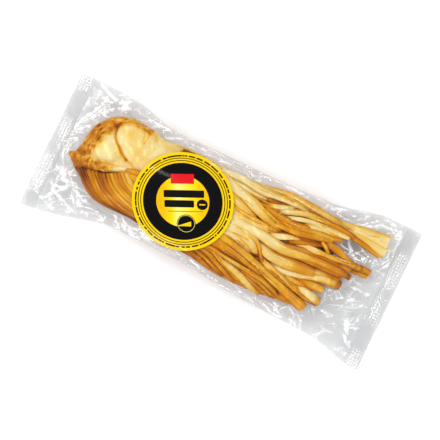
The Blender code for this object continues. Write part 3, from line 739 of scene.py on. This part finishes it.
def buildHead():
    parts = []
    for centre, half, turn in headLobes.values():
        clearSelection()
        bpy.ops.mesh.primitive_uv_sphere_add(segments=64, ring_count=40, radius=mm,
                                             location=[v * mm for v in centre],
                                             rotation=(0, 0, math.radians(turn)), scale=half)
        parts.append(bpy.context.object)
        applyPlace(parts[-1])
    for route, radii in headRolls.values():
        clearSelection()
        bpy.ops.curve.primitive_nurbs_path_add()
        roll = bpy.context.object
        spline = roll.data.splines[0]
        spline.points.add(len(route) - len(spline.points))
        for point, place, radius in zip(spline.points, route, radii):
            point.co = (*(v * mm for v in place), 1)
            point.radius = radius
        spline.order_u = 3
        roll.data.bevel_depth = mm
        roll.data.bevel_resolution = 6
        roll.data.use_fill_caps = True
        bpy.ops.object.convert(target="MESH")
        parts.append(bpy.context.object)
        applyPlace(parts[-1])
    head = joinAll(parts, "cheese_folded_head")
    applyModifier(head, "REMESH", mode="VOXEL", voxel_size=headLook["voxel"] * mm)
    applyModifier(head, "SMOOTH", factor=0.5, iterations=6)

    skin = readPoints(head)
    x, y, z = skin.T
    fray = np.array([noise.noise(Vector(p)) for p in skin / headLook["frayGrain"]])
    # the torn skin's fibres run round the head: long that way, fine across it
    middle = headLook["middle"]
    radius, stretchRound, stretchUp = headLook["torn"]
    out = np.hypot(x - middle[0], y - middle[1])
    turned = np.arctan2(y - middle[1], x - middle[0]) * radius
    torn = np.column_stack([out, turned / stretchRound, z / stretchUp])
    fleck = np.array([noise.turbulence(Vector(p / headLook["fleckSize"]), 3, False) for p in torn])
    crinkle = np.array([noise.turbulence(Vector(p / headLook["crinkleSize"]), 5, True) for p in torn])
    swell = np.array([noise.noise(Vector(p / headLook["swellSize"])) for p in skin])

    # the smoked, crinkled skin: the rim, which thins over the dome, the lip and the web under it
    look = headLook["rim"]
    reach = look["reach"] - look["less"] * ease((x - look["lessFrom"]) / look["lessOver"])
    rim = awayFrom(headRolls["smokedRim"][0], skin)
    outer = 1 - ease((rim + look["fray"] * fray - reach + 1.5) / look["fade"])
    rimShade = np.exp(-np.maximum(rim - reach, 0) / look["fade"])        # painted shade: the skin next to the rim is gold
    look = headLook["lip"]
    away = awayFrom(headRolls["lowerLip"][0][:5], skin)
    lip = 1 - ease((away + look["fray"] * fray - look["reach"]) / look["fade"])
    lip *= ease((look["end"] - x) / look["endFade"])
    look = headLook["web"]
    web = ease((look["y"] - y + look["fray"] * fray) / look["yFade"]) * ease((look["x"] - x) / look["xFade"])
    rough = np.maximum(outer, lip)
    move = rough * headLook["crinkle"] * (0.75 - crinkle) + headLook["swell"] * swell
    plain, bySwell, byRimShade = headLook["pale"]
    tone = plain + bySwell * swell + byRimShade * rimShade
    besideShade, shadeReach = headLook["creaseShade"]
    lowest, over = headLook["creasesFrom"]
    for route, half, depth, dark in headCreases:
        away = awayFrom(route, skin)
        line = np.exp(-(away / half) ** 2) * ease((z - lowest) / over)
        move = move - depth * line
        # painted shade: darker in each crease, and gold beside it
        tone = tone - dark * line - besideShade * np.exp(-away / shadeReach)
    skin = skin + readVectors(head, "normal") * move[:, None]
    writePoints(head, settled(skin))

    x, y, z = skin.T
    fleck, crinkle = ((v - v.mean()) / v.std() for v in (fleck, crinkle))
    plain, byLip, byFar, byFleck, byCrinkle = headLook["smoked"]
    farFrom, farOver = headLook["farFrom"]
    far = ease((y - farFrom) / farOver)
    # the crinkle term paints a highlight on the crinkles' ridges and shade in their hollows
    smoked = plain + byLip * lip + byFar * far + byFleck * fleck + byCrinkle * crinkle
    tone = tone * (1 - rough) + smoked * rough
    plain, byFleck = headLook["web"]["tone"]
    tone = tone * (1 - web) + (plain + byFleck * fleck) * web
    lowTone, lowFrom, lowOver = headLook["low"]
    low = ease((lowFrom - z) / lowOver)
    tone = tone * (1 - low) + lowTone * low
    writeValues(head, "tone", np.clip(tone, 0, 1.1))
    writeValues(head, "grain", skin / 9)
    writeValues(head, "frayed", np.maximum(rough, web))
    return head


headPiece = buildHead()
print("head done:", len(headPiece.data.polygons))

# painted shade: the core deep inside the bundle, seen only through gaps, has a dark tone
coreLook = {"inset": 6.0, "tone": 0.30, "fill": 0.4, "rings": 40, "sides": 36, "from": -100.0, "to": 74.0}


def buildCore():
    clearSelection()
    bpy.ops.mesh.primitive_uv_sphere_add(segments=coreLook["sides"], ring_count=coreLook["rings"], radius=1,
                                         rotation=(0, math.pi / 2, 0))
    core = bpy.context.object
    core.name = core.data.name = "cheese_core"
    applyPlace(core)
    unit = readPoints(core) * mm
    x = coreLook["from"] + (coreLook["to"] - coreLook["from"]) * (unit[:, 0] + 1) / 2
    fill = np.hypot(unit[:, 1], unit[:, 2]) ** coreLook["fill"]
    y, z = roundSection(x, np.arctan2(unit[:, 2], unit[:, 1]), coreLook["inset"])
    centre = (eased(bundle["farSide"], x) + eased(bundle["nearSide"], x)) / 2
    middle = eased(bundle["crown"], x) * bundle["middleShare"]
    writePoints(core, np.column_stack([x, centre + (y - centre) * fill, middle + (z - middle) * fill]))
    writeValues(core, "tone", np.full(len(unit), coreLook["tone"]))
    writeValues(core, "grain", unit * 5)
    return core


corePiece = buildCore()
print("core done:", len(corePiece.data.polygons))


def cheeseMaterial():
    # Smoked pulled-curd cheese, hand-drawn into strands and cold smoked: a moist satin skin, gold where the
    # smoke took and cream where it did not, with fine fibres along each strand, and painted shade and
    # highlight in its tone.
    made, tree = newMaterial("smoked_pulled_curd_cheese")
    tone = addNode(tree, "Attribute", {"attribute_name": "tone"})
    grain = addNode(tree, "Attribute", {"attribute_name": "grain"})
    frayed = addNode(tree, "Attribute", {"attribute_name": "frayed"})
    place = addNode(tree, "TexCoord")
    fibres = addNode(tree, "TexNoise", {"Scale": 0.7, "Detail": 7.0, "Roughness": 0.7,
                                        "Vector": (grain, "Vector")})
    stains = addNode(tree, "TexNoise", {"Scale": 70.0, "Detail": 4.0, "Roughness": 0.55,
                                        "Vector": (place, "Object")})      # smoke stains, 14 mm across
    crumbs = addNode(tree, "TexNoise", {"Scale": 520.0, "Detail": 4.0, "Roughness": 0.6,
                                        "Vector": (place, "Object")})      # curd flecks, 2 mm across
    fibred = addNode(tree, "Math", {"operation": "MULTIPLY_ADD", 0: (fibres, "Fac"), 1: 0.52, 2: -0.26})
    stained = addNode(tree, "Math", {"operation": "MULTIPLY_ADD", 0: (stains, "Fac"), 1: 0.40, 2: -0.20})
    first = addNode(tree, "Math", {"operation": "ADD", 0: (tone, "Fac"), 1: (fibred, 0)})
    second = addNode(tree, "Math", {"operation": "ADD", "use_clamp": True, 0: (first, 0), 1: (stained, 0)})
    # the tone read here also carries painted shade: strand sides, the head's creases, and the strands and
    # core deep in the bundle
    colour = addNode(tree, "ValToRGB", {"Fac": (second, 0)})
    fillRamp(colour, ((0.0, "55260A"), (0.16, "8C480A"), (0.34, "BC6C0A"), (0.5, "D28812"), (0.66, "E2AA34"),
                      (0.82, "EBC262"), (1.0, "EDD89A")))
    bump = addNode(tree, "Bump", {"Strength": 0.35, "Distance": 0.0006, "Height": (fibres, "Fac")})
    torn = addNode(tree, "Bump", {"Distance": 0.0014, "Strength": (frayed, "Fac"), "Height": (crumbs, "Fac"),
                                  "Normal": (bump, "Normal")})                 # the torn rim is crumbly
    shader = addNode(tree, "BsdfPrincipled",
                     {"Roughness": 0.42, "IOR": 1.38, "Specular IOR Level": 0.1, "Subsurface Weight": 0.08,
                      "Subsurface Radius": (1.0, 0.68, 0.3), "Subsurface Scale": 0.002,
                      "Base Color": (colour, "Color"), "Normal": (torn, "Normal")})
    addNode(tree, "OutputMaterial", {"Surface": (shader, "BSDF")})
    return made


cheesePieces = (topPiece, underPiece, fibrePiece, headPiece)
cheese = cheeseMaterial()
for piece in (*cheesePieces, corePiece):
    piece.data.materials.append(cheese)
    selectOnly(piece)
    bpy.ops.object.shade_smooth_by_angle(angle=math.radians(50))

film = {
    "farEdge": ((-150, 58.5), (-100, 56), (-60, 48), (10, 48.5), (75, 51), (120, 60), (150, 60.5)),
    "nearEdge": ((-150, -57.5), (-115, -52), (-75, -42.5), (-20, -43.5), (40, -49), (100, -51), (150, -60)),
    "endRise": 3.5,
    "sideRise": 9.0,
    "wave": 0.7,
    "waves": (17, 13),
    "sealWidth": 12.5,
    "columns": 340,
    "rows": 140,
    "coarse": (86, 36),    # the grid on which the seam between the two films is first eased
    "easings": (600, 60, 260),      # rounds on the coarse seam, the fine seam and the film itself
    "clear": 0.3,          # how far the film keeps off the cheese
    "gap": 0.12,           # half the space between the two films where they touch
    "pull": 0.03,
    "clingRounds": 12,
    "clingReach": 1.2,
    "clingCalm": 0.75,     # how much of a crease the cheese pulls flat
    "edgeFades": (2, 3),   # creases end this far from the seals and the long edges
    "beneath": 0.3,        # share of the fine crumple that the belly shows
    "facets": (((16, 34), 0.07, 6, 5), ((7, 13), 0.05, 5, 6)),      # sizes, slope, how many, seed
    "fineFacets": ((4, 9), 0.16, 5, 8),
    "patches": ((14, 26), (11, 20), 1.6),
    "sealCalm": 0.35,
    "fullGlintAt": 1.5,      # height of a crease whose painted glint is at its fullest
}
endX = (pouchHigh[0] - pouchLow[0]) / 2 / mm
sealX = endX - film["sealWidth"]


def rimHeight(x, y):
    along = np.clip(np.abs(x) / endX, 0, 1)
    alongX, alongY = film["waves"]
    wave = np.sin(x / alongX + np.sign(y)) + np.sin(y / alongY + 2 * np.sign(x))
    return film["sideRise"] + (film["endRise"] - film["sideRise"]) * along ** 3 + film["wave"] * wave


def neighbours(z):
    padded = np.pad(z, 1, mode="edge")
    return (padded[:-2, 1:-1] + padded[2:, 1:-1] + padded[1:-1, :-2] + padded[1:-1, 2:]) / 4


def shrinkGrid(z, rounds, held=None):  # eases a grid to a taut sheet where it isn't held
    start = z.copy()
    for _ in range(rounds):
        z = neighbours(z)
        if held is not None:
            z = np.where(held, start, z)
    return z


def resized(z, shape):  # a grid read at another grid's points
    rows = np.linspace(0, z.shape[0] - 1, shape[0])
    cols = np.linspace(0, z.shape[1] - 1, shape[1])
    i = np.minimum(rows.astype(int), z.shape[0] - 2)
    j = np.minimum(cols.astype(int), z.shape[1] - 2)
    u, v = (rows - i)[:, None], (cols - j)[None, :]
    return ((z[i][:, j] * (1 - v) + z[i][:, j + 1] * v) * (1 - u)
            + (z[i + 1][:, j] * (1 - v) + z[i + 1][:, j + 1] * v) * u)


def probeHeights(pieces, x, y, fromAbove):  # where straight lines down, or up, first meet the pieces
    points, faces, start = [], [], 0
    for piece in pieces:
        mesh = piece.data
        points += [v.co.copy() for v in mesh.vertices]
        faces += [[i + start for i in polygon.vertices] for polygon in mesh.polygons]
        start += len(mesh.vertices)
    tree = BVHTree.FromPolygons(points, faces)
    heights = np.full(x.shape, np.nan)
    high, down = (0.1, -1) if fromAbove else (-0.1, 1)
    for index in np.ndindex(x.shape):
        hit = tree.ray_cast(Vector((x[index] * mm, y[index] * mm, high)), Vector((0, 0, down)))
        if hit[0] is not None:
            heights[index] = hit[0].z / mm
    return heights


creases = {
    "count": 460,
    "bow": (0.4, 6),           # how far they sway from straight, and over what length
    "endX": (102, 138),        # half of them lie at the ends and run out to the corners, within endTurn
    "endY": 56,
    "endTurn": 0.7,
    "sideX": 140,              # and half along the sides, at these angles to them, in degrees
    "sideTurns": (8, 20, 50, -15),
    "length": (3, 15),
    "width": (1.0, 1.6),
    "height": (0.6, 1.4),
    "sunk": 0.3,               # share of them that point down
    "big": (                   # start, end, width, height
            ((-136, -49), (-115, -21), 2.0, 1.3), ((-132, -50), (-121, -34), 1.4, 0.9),
            ((-137, -32), (-122, -22), 1.3, 0.8), ((-138, 51), (-116, 45), 1.4, 0.9),
            ((-136, 44), (-132, 30), 1.2, 0.8), ((-128, 50), (-131, 36), 1.2, 0.7),
            ((-124, 34), (-134, 24), 1.2, 0.8), ((-116, 46), (-111, 38), 1.2, 0.7),
            ((-90, -33), (-46, -36), 1.5, 1.0), ((-84, -36.5), (-58, -38.5), 1.2, 0.8),
            ((-96, 46), (-84, 52), 1.2, 0.8), ((-66, 43), (-34, 45), 1.3, 0.8),
            ((-60, 46), (-40, 47), 1.1, 0.7), ((119, -19), (137, -46), 2.0, 1.3),
            ((124, -20), (131, -38), 1.3, 0.9), ((112, -6), (125, -12), 1.4, 0.9),
            ((121, -10), (126, -18), 1.3, 0.9), ((110, -20), (115, -14), 1.3, 0.9),
            ((97, -17), (106, -8), 1.2, 0.8), ((98, 24), (134, 22), 1.5, 1.0),
            ((106, 29), (126, 23), 1.4, 0.9), ((112, 19), (124, 17), 1.3, 0.8),
            ((129, 38), (137, 28), 1.5, 0.9), ((116, -2), (122, -3), 1.2, 0.8),
            ((102, -34), (109, -32), 1.2, 0.8), ((60, 48), (92, 45), 1.2, 0.7),
    ),
}


def oneCrease(x, y, centre, turn, reach, width, height):
    c, s = math.cos(turn), math.sin(turn)
    bow, bowLength = creases["bow"]
    along = (x - centre[0]) * c + (y - centre[1]) * s
    across = (y - centre[1]) * c - (x - centre[0]) * s + bow * np.sin(along / bowLength)
    taper = np.clip(1 - (along / reach) ** 2, 0, 1)
    return height * taper * np.clip(1 - np.abs(across) / (width * (0.5 + 0.5 * taper)), 0, 1)


def creaseField(x, y):  # straight sharp-crested folds of the slack film
    rng = random.Random(21)
    field = np.zeros_like(x)
    for number in range(creases["count"]):
        cx = rng.uniform(-creases["sideX"], creases["sideX"])
        side = rng.choice((-1, 1))
        edge = eased(film["farEdge"] if side > 0 else film["nearEdge"], np.array(cx))
        body = eased(bundle["farSide"] if side > 0 else bundle["nearSide"], np.array(cx))
        if number % 2 == 0:
            cx = rng.choice((-1, 1)) * rng.uniform(*creases["endX"])
            cy = rng.uniform(-creases["endY"], creases["endY"])
            turn = math.atan2(cy, cx) + rng.gauss(0, creases["endTurn"])
        else:
            cy = float(body + (edge - body) * rng.uniform(-0.1, 1.0))
            turn = math.radians(rng.choice(creases["sideTurns"])) * side + rng.uniform(-0.25, 0.25)
        length, width, height = (rng.uniform(*creases[key]) for key in ("length", "width", "height"))
        if rng.random() < creases["sunk"]:
            height = -height
        field += oneCrease(x, y, (cx, cy), turn, length, width, height)
    for start, end, width, height in creases["big"]:
        centre = ((start[0] + end[0]) / 2, (start[1] + end[1]) / 2)
        turn = math.atan2(end[1] - start[1], end[0] - start[0])
        field += oneCrease(x, y, centre, turn, math.dist(start, end) / 2, width, height)
    return field


def foldedFacets(x, y, sizes, slope, count, seed):  # flat facets between folds, as in a crumpled sheet
    rng = random.Random(seed)
    height = np.zeros_like(x)
    longX, longY, contrast = film["patches"]
    for _ in range(count):
        turn, size = rng.uniform(0, math.pi), rng.uniform(*sizes)
        across = (x * math.cos(turn) + y * math.sin(turn)) / size + rng.random()
        patch = np.sin(x / rng.uniform(*longX) + rng.uniform(0, 6))
        patch = patch * np.sin(y / rng.uniform(*longY) + rng.uniform(0, 6))
        fold = 2 * np.abs(across - np.floor(across + 0.5)) - 0.5
        height += slope * size / 2 * fold * ease(0.5 + contrast * patch)
    return height


def slackFacets(x, y):  # the crumple that the flanges share with the seals, calmer where the film is sealed
    calm = film["sealCalm"] + (1 - film["sealCalm"]) * ease((sealX - np.abs(x)) / 10)
    return calm * sum(foldedFacets(x, y, *facets) for facets in film["facets"])


def filmSurfaces():
    shape = (film["columns"] + 1, film["rows"] + 1)
    x = np.repeat(np.linspace(-sealX, sealX, shape[0])[:, None], shape[1], axis=1)
    far, near = eased(film["farEdge"], x), eased(film["nearEdge"], x)
    y = near + (far - near) * np.linspace(0, 1, shape[1])[None, :]
    above, below = (probeHeights(cheesePieces, x, y, fromAbove) for fromAbove in (True, False))
    filled = ~np.isnan(above)
    rim = np.zeros_like(filled)
    rim[[0, -1], :] = rim[:, [0, -1]] = True
    middle = bundle["middleShare"] * eased(bundle["crown"], x)
    middle = np.where(filled, np.clip(middle, below, above), rimHeight(x, y))

    # the line where the two films meet, eased out from the cheese to the rim on a coarse grid and then here
    coarseRounds, fineRounds, filmRounds = film["easings"]
    heldCoarse = resized((filled | rim).astype(float), film["coarse"]) > 0.6
    seam = shrinkGrid(resized(middle, film["coarse"]), coarseRounds, heldCoarse)
    seam = np.where(filled | rim, middle, resized(seam, shape))
    seam = shrinkGrid(seam, fineRounds, filled | rim)

    clings = ease(shrinkGrid(filled.astype(float), film["clingRounds"]) * film["clingReach"])
    slack = 1 - clings
    endFade, sideFade = film["edgeFades"]
    edgeFade = ease((sealX - np.abs(x)) / endFade) * ease(np.minimum(far - y, y - near) / sideFade)
    facets = slackFacets(x, y)
    folds = edgeFade * creaseField(x, y) * (1 - film["clingCalm"] * clings)
    # painted glints: the highest creases of the slack film are drawn white
    paintedGlints = np.clip(folds / film["fullGlintAt"], 0, 1) ** 2 * slack
    seam = seam + folds + facets * slack

    highest = np.maximum(np.where(filled, above + film["clear"], -50), seam + film["gap"])
    lowest = np.minimum(np.where(filled, below - film["clear"], 50), seam - film["gap"])
    upper, lower = highest, lowest
    for _ in range(filmRounds):
        upper = np.maximum(neighbours(upper) - film["pull"], highest)
        lower = np.minimum(neighbours(lower) + film["pull"], lowest)
    cover = labelCover(x, y)
    fine = foldedFacets(x, y, *film["fineFacets"]) * clings
    upper = upper + fine * (1 - cover)
    upper = upper + (labelHeight(x, y) - upper) * cover
    lower = np.maximum(lower - film["beneath"] * fine, 0.0)
    upper = np.where(rim, rimHeight(x, y) + facets + film["gap"], upper)
    lower = np.where(rim, rimHeight(x, y) + facets - film["gap"], lower)
    return x, y, upper, np.minimum(lower, upper - 2 * film["gap"]), clings, paintedGlints


def closedSheet(name, x, y, upper, lower):  # a grid primitive, doubled by Solidify, with both sides placed
    clearSelection()
    bpy.ops.mesh.primitive_grid_add(x_subdivisions=x.shape[0] - 1, y_subdivisions=x.shape[1] - 1, size=2)
    sheet = bpy.context.object
    sheet.name = sheet.data.name = name
    applyModifier(sheet, "SOLIDIFY", thickness=0.1, offset=0)
    unit = readPoints(sheet) * mm
    column = np.rint((unit[:, 0] + 1) / 2 * (x.shape[0] - 1)).astype(int)
    row = np.rint((unit[:, 1] + 1) / 2 * (x.shape[1] - 1)).astype(int)
    height = np.where(unit[:, 2] > 0, upper[column, row], lower[column, row])
    writePoints(sheet, np.column_stack([x[column, row], y[column, row], height]))
    return sheet, column, row


def buildFilm():
    x, y, upper, lower, clings, paintedGlints = filmSurfaces()
    sheet, column, row = closedSheet("vacuum_film", x, y, upper, lower)
    writeValues(sheet, "clings", clings[column, row])
    writeValues(sheet, "pressed", paintedGlints[column, row])
    return sheet


filmPiece = buildFilm()
print("film done:", len(filmPiece.data.polygons))


# The knurl of the sealing jaws is about 1 mm, drawn coarser so that it shows
seal = {
    "along": 34,
    "across": 300,
    "pitch": 3.4,
    "relief": 0.42,
    "half": 0.18,
    "overlap": 0.2,
    "inset": 0.2,
    "plain": (1.2, 0.8),   # the margin without a knurl, and how fast the knurl comes in
    "worn": (0.6, 0.9),    # the knurl is pressed deeper in patches
}


def buildSeal(name, side):
    inner, outer = sealX - seal["overlap"], endX - seal["inset"]
    steps = np.linspace(inner, outer, seal["along"] + 1)
    x = side * np.repeat(steps[:, None], seal["across"] + 1, axis=1)
    if side < 0:
        x = x[::-1]
    far, near = eased(film["farEdge"], x), eased(film["nearEdge"], x)
    y = near + (far - near) * np.linspace(0, 1, seal["across"] + 1)[None, :]
    turn = math.tau / seal["pitch"] / math.sqrt(2)
    margin, fade = seal["plain"]
    knurled = ease((np.abs(x) - inner - margin) / fade) * ease((outer - margin - np.abs(x)) / fade)
    knurled *= ease(seal["worn"][0] + seal["worn"][1] * np.sin(y / 9 + 2 * side) * np.sin(y / 23 + x / 9))
    knurl = np.sin((x + y) * turn) * np.sin((x - y) * turn)
    relief = seal["relief"] * knurl * knurled
    middle = rimHeight(x, y) + slackFacets(x, y) + relief
    sheet, column, row = closedSheet(name, x, y, middle + seal["half"], middle - seal["half"])
    # the knurl's points: a little frosted, and drawn with painted glints
    writeValues(sheet, "pressed", (ease(1.7 * knurl) * knurled)[column, row])
    return sheet


sealPieces = [buildSeal("head_end_seal", -1), buildSeal("tail_end_seal", 1)]
print("seals done:", *(len(piece.data.polygons) for piece in sealPieces))


def filmMaterial(name, tint, gloss):
    # Polyamide and polyethylene vacuum film, blown and drawn tight: clear, with hard bright glints on its
    # folds. Where it clings to the moist cheese only its outer face shines. The slack film keeps fine
    # straight creases. Painted glints in matt white lie on its creases and on the knurl's pressed, frosted
    # points.
    made, tree = newMaterial(name)
    place = addNode(tree, "TexCoord")
    clings = addNode(tree, "Attribute", {"attribute_name": "clings"})
    # painted glints on the film's creases, and on the seals the knurl's frosted points with painted glints
    pressed = addNode(tree, "Attribute", {"attribute_name": "pressed"})
    slack = addNode(tree, "Math", {"operation": "SUBTRACT", 0: 1.0, 1: (clings, "Fac")})
    panes = addNode(tree, "TexVoronoi", {"feature": "DISTANCE_TO_EDGE", "Scale": 46.0,
                                         "Vector": (place, "Object")})     # flat panes, 20 mm across
    ridges = addNode(tree, "MapRange", {"From Min": 0.0, "From Max": 0.026, "To Min": 1.0, "To Max": 0.0,
                                        "Value": (panes, "Distance")})
    patches = addNode(tree, "TexNoise", {"Scale": 34.0, "Detail": 2.0, "Vector": (place, "Object")})
    where = addNode(tree, "MapRange", {"From Min": 0.555, "From Max": 0.66, "Value": (patches, "Fac")})
    lines = addNode(tree, "Math", {"operation": "MULTIPLY", 0: (ridges, 0), 1: (where, 0)})
    bump = addNode(tree, "Bump", {"Distance": 0.0009, "Strength": (slack, 0), "Height": (lines, 0)})

    facing = addNode(tree, "LayerWeight", {"Blend": 0.5})
    steep = addNode(tree, "Math", {"operation": "POWER", 0: (facing, "Facing"), 1: 4.0})
    most = addNode(tree, "Math", {"operation": "MULTIPLY_ADD", "use_clamp": True, 0: (steep, 0), 1: 0.55,
                                  2: gloss})
    loss = addNode(tree, "Math", {"operation": "MULTIPLY_ADD", 0: (clings, "Fac"), 1: -0.86, 2: 1.0})
    share = addNode(tree, "Math", {"operation": "MULTIPLY", 0: (most, 0), 1: (loss, 0)})
    clear = addNode(tree, "BsdfTransparent", {"Color": (tint - 0.003, tint, tint + 0.003, 1)})
    shine = addNode(tree, "BsdfAnisotropic", {"Color": (1, 1, 1, 1), "Roughness": 0.12,
                                              "Normal": (bump, "Normal")})
    glossy = addNode(tree, "MixShader", {0: (share, 0), 1: (clear, 0), 2: (shine, 0)})

    # painted glints: the fine straight creases and the highest creases are drawn in matt white
    sharp = addNode(tree, "Math", {"operation": "MULTIPLY", 0: (lines, 0), 1: (slack, 0)})
    both = addNode(tree, "Math", {"operation": "MAXIMUM", 0: (pressed, "Fac"), 1: (sharp, 0)})
    white = addNode(tree, "Math", {"operation": "MULTIPLY", 0: (both, 0), 1: 0.8})
    glintAndFrostShader = addNode(tree, "BsdfDiffuse", {"Color": (0.9, 0.9, 0.9, 1)})
    whole = addNode(tree, "MixShader", {0: (white, 0), 1: (glossy, 0), 2: (glintAndFrostShader, 0)})
    addNode(tree, "OutputMaterial", {"Surface": (whole, 0)})
    return made


filmPiece.data.materials.append(filmMaterial("clear_pa_pe_vacuum_film", 0.89, 0.06))
for piece in sealPieces:
    piece.data.materials.append(filmMaterial("heat_sealed_knurled_film", 0.868, 0.07))
for piece in (filmPiece, *sealPieces):
    selectOnly(piece)
    bpy.ops.object.shade_smooth()

sticker = {
    "rings": 40,
    "sides": 144,
    "thick": 0.18,
    "gap": 0.12,
    "printTurn": 25.9,      # the print stands level in the view
}


def buildSticker():
    clearSelection()
    bpy.ops.mesh.primitive_circle_add(vertices=sticker["sides"], radius=1, fill_type="NGON")
    disc = bpy.context.object
    disc.name = disc.data.name = "round_sticker"
    bpy.ops.object.mode_set(mode="EDIT")
    bpy.ops.mesh.select_all(action="SELECT")
    for _ in range(sticker["rings"] - 1):
        bpy.ops.mesh.inset(thickness=1 / sticker["rings"])
    bpy.ops.mesh.poke()
    bpy.ops.object.mode_set(mode="OBJECT")
    flat = readPoints(disc) * mm
    x = labelCentre[0] + flat[:, 0] * labelHalf[0]
    y = labelCentre[1] + flat[:, 1] * labelHalf[1]
    writePoints(disc, np.column_stack([x, y, labelHeight(x, y) + sticker["gap"]]))

    c, s = (turned(math.radians(sticker["printTurn"])) for turned in (math.cos, math.sin))
    layer = disc.data.uv_layers.active or disc.data.uv_layers.new(name="print")
    layer.name = "print"
    for loop in disc.data.loops:
        u, v = flat[loop.vertex_index, :2] * labelHalf[0]
        layer.data[loop.index].uv = (u * c + v * s, v * c - u * s)
    applyModifier(disc, "SOLIDIFY", thickness=sticker["thick"] * mm, offset=1)
    selectOnly(disc)
    bpy.ops.object.shade_smooth_by_angle(angle=math.radians(40))
    return disc


stickerPrint = {   # places and sizes from the sticker's centre, right and up
    "fade": ((0.0, "E2A406"), (0.15, "E7AE06"), (0.3, "E6CB10"), (0.4, "E8DE72"), (0.5, "E7D858"),
             (0.65, "E6D020"), (0.8, "E5BC06"), (1.0, "E5AA04")),
    "fadeReach": 21.0,
    "black": "050507",
    "yellow": "E6BF05",
    "ringLines": (     # radius, half width, dashes round it (0 for a plain line), colour
        (37.2, 0.66, 110, "1C1604"),
        (35.2, 0.36, 0, "1C1604"),
        (33.2, 0.36, 0, "1C1604"),
    ),
    "bandInner": 20.9,
    "bandOuter": 31.4,
    "bars": (          # centre, half sizes, corner, colour
        ((0, 18.3), (9.2, 4.0), 0.8, "CC161C"),
        ((1, 6.1), (16, 3.0), 1.0, "0C0A06"),
        ((-2.8, -2), (11.7, 2.9), 1.0, "0C0A06"),
        ((15.3, -2.5), (4.3, 4.3), 4.3, "0C0A06"),
        ((15.3, -2.5), (2.4, 0.5), 0.4, "E6C005"),
        ((2, -8.1), (14, 0.35), 0.3, "8A7B3A"),
        ((2.3, -18.1), (7.4, 7.4), 7.4, "050507"),
        ((2.3, -18.1), (6.9, 6.9), 6.9, "D9C34A"),
        ((2.3, -18.1), (6.5, 6.5), 6.5, "050507"),
    ),
    "wedge": ((2.3, -18.9), (3.9, 2.6), "E6C005"),     # a plain wedge: half length and height
}


def stickerMaterial():
    # Paper sticker, offset printed and gloss laminated: flat even inks under a smooth clear shine.
    made, tree = newMaterial("gloss_laminated_paper_print")
    place = addNode(tree, "UVMap", {"uv_map": "print"})
    parts = addNode(tree, "SeparateXYZ", {"Vector": (place, "UV")})
    radius = addNode(tree, "VectorMath", {"operation": "LENGTH", 0: (place, "UV")})
    angle = addNode(tree, "Math", {"operation": "ARCTAN2", 0: (parts, "Y"), 1: (parts, "X")})

    # inner disc: a metallic-look fade from orange at its sides to pale yellow left of its middle
    reach = stickerPrint["fadeReach"]
    fadeAt = addNode(tree, "MapRange", {"From Min": -reach, "From Max": reach, "Value": (parts, "X")})
    fade = addNode(tree, "ValToRGB", {"Fac": (fadeAt, "Result")})
    fillRamp(fade, stickerPrint["fade"])
    paint = (fade, "Color")

    def layer(mask, colour):  # paints a colour where the mask is 1
        nonlocal paint
        mixed = addNode(tree, "Mix", {"data_type": "RGBA", 0: (mask, 0), 6: paint, 7: linear(colour)})
        paint = (mixed, 2)

    def fromPlace(centre):
        return addNode(tree, "VectorMath", {"operation": "SUBTRACT", 0: (place, "UV"), 1: (*centre, 0)})

    for edge, colour in (("bandInner", "black"), ("bandOuter", "yellow")):
        outside = addNode(tree, "Math", {"operation": "GREATER_THAN", 0: (radius, "Value"),
                                         1: stickerPrint[edge]})
        layer(outside, stickerPrint[colour])
    for line, half, dashes, colour in stickerPrint["ringLines"]:
        mask = addNode(tree, "Math", {"operation": "COMPARE", 0: (radius, "Value"), 1: line, 2: half})
        if dashes:
            turned = addNode(tree, "Math", {"operation": "ADD", 0: (angle, 0), 1: line})
            speck = addNode(tree, "TexNoise", {"noise_dimensions": "1D", "Scale": dashes / math.tau,
                                               "Detail": 0.0, "W": (turned, 0)})
            dash = addNode(tree, "Math", {"operation": "GREATER_THAN", 0: (speck, "Fac"), 1: 0.38})
            mask = addNode(tree, "Math", {"operation": "MULTIPLY", 0: (mask, 0), 1: (dash, 0)})
        layer(mask, colour)
    for centre, half, corner, colour in stickerPrint["bars"]:
        core = [h - corner for h in half]
        folded = addNode(tree, "VectorMath", {"operation": "ABSOLUTE", 0: (fromPlace(centre), 0)})
        over = addNode(tree, "VectorMath", {"operation": "SUBTRACT", 0: (folded, 0), 1: (*core, 0)})
        kept = addNode(tree, "VectorMath", {"operation": "MAXIMUM", 0: (over, 0), 1: (0, 0, 0)})
        away = addNode(tree, "VectorMath", {"operation": "LENGTH", 0: (kept, 0)})
        layer(addNode(tree, "Math", {"operation": "LESS_THAN", 0: (away, "Value"), 1: corner}), colour)
    centre, (halfLong, high), colour = stickerPrint["wedge"]
    moved = fromPlace(centre)
    mask = None
    for normal, reach in (((0, -1, 0), high / 2), ((1, 0, 0), halfLong),
                          ((-high, 2 * halfLong, 0), high * halfLong)):
        size = math.hypot(*normal)
        dot = addNode(tree, "VectorMath", {"operation": "DOT_PRODUCT", 0: (moved, 0),
                                           1: [n / size for n in normal]})
        side = addNode(tree, "Math", {"operation": "LESS_THAN", 0: (dot, "Value"), 1: reach / size})
        mask = addNode(tree, "Math", {"operation": "MULTIPLY", 0: (mask, 0), 1: (side, 0)}) if mask else side
    layer(mask, colour)

    shader = addNode(tree, "BsdfPrincipled", {"Roughness": 0.12, "IOR": 1.45, "Specular IOR Level": 0.15,
                                              "Base Color": paint})
    addNode(tree, "OutputMaterial", {"Surface": (shader, "BSDF")})
    return made


stickerPiece = buildSticker()
stickerPiece.data.materials.append(stickerMaterial())
print("sticker done:", len(stickerPiece.data.polygons))

for piece in (*cheesePieces, corePiece, filmPiece, *sealPieces):
    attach(piece, "root")
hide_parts("sealed_pouch")
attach(stickerPiece, "root")
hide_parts("round_label")
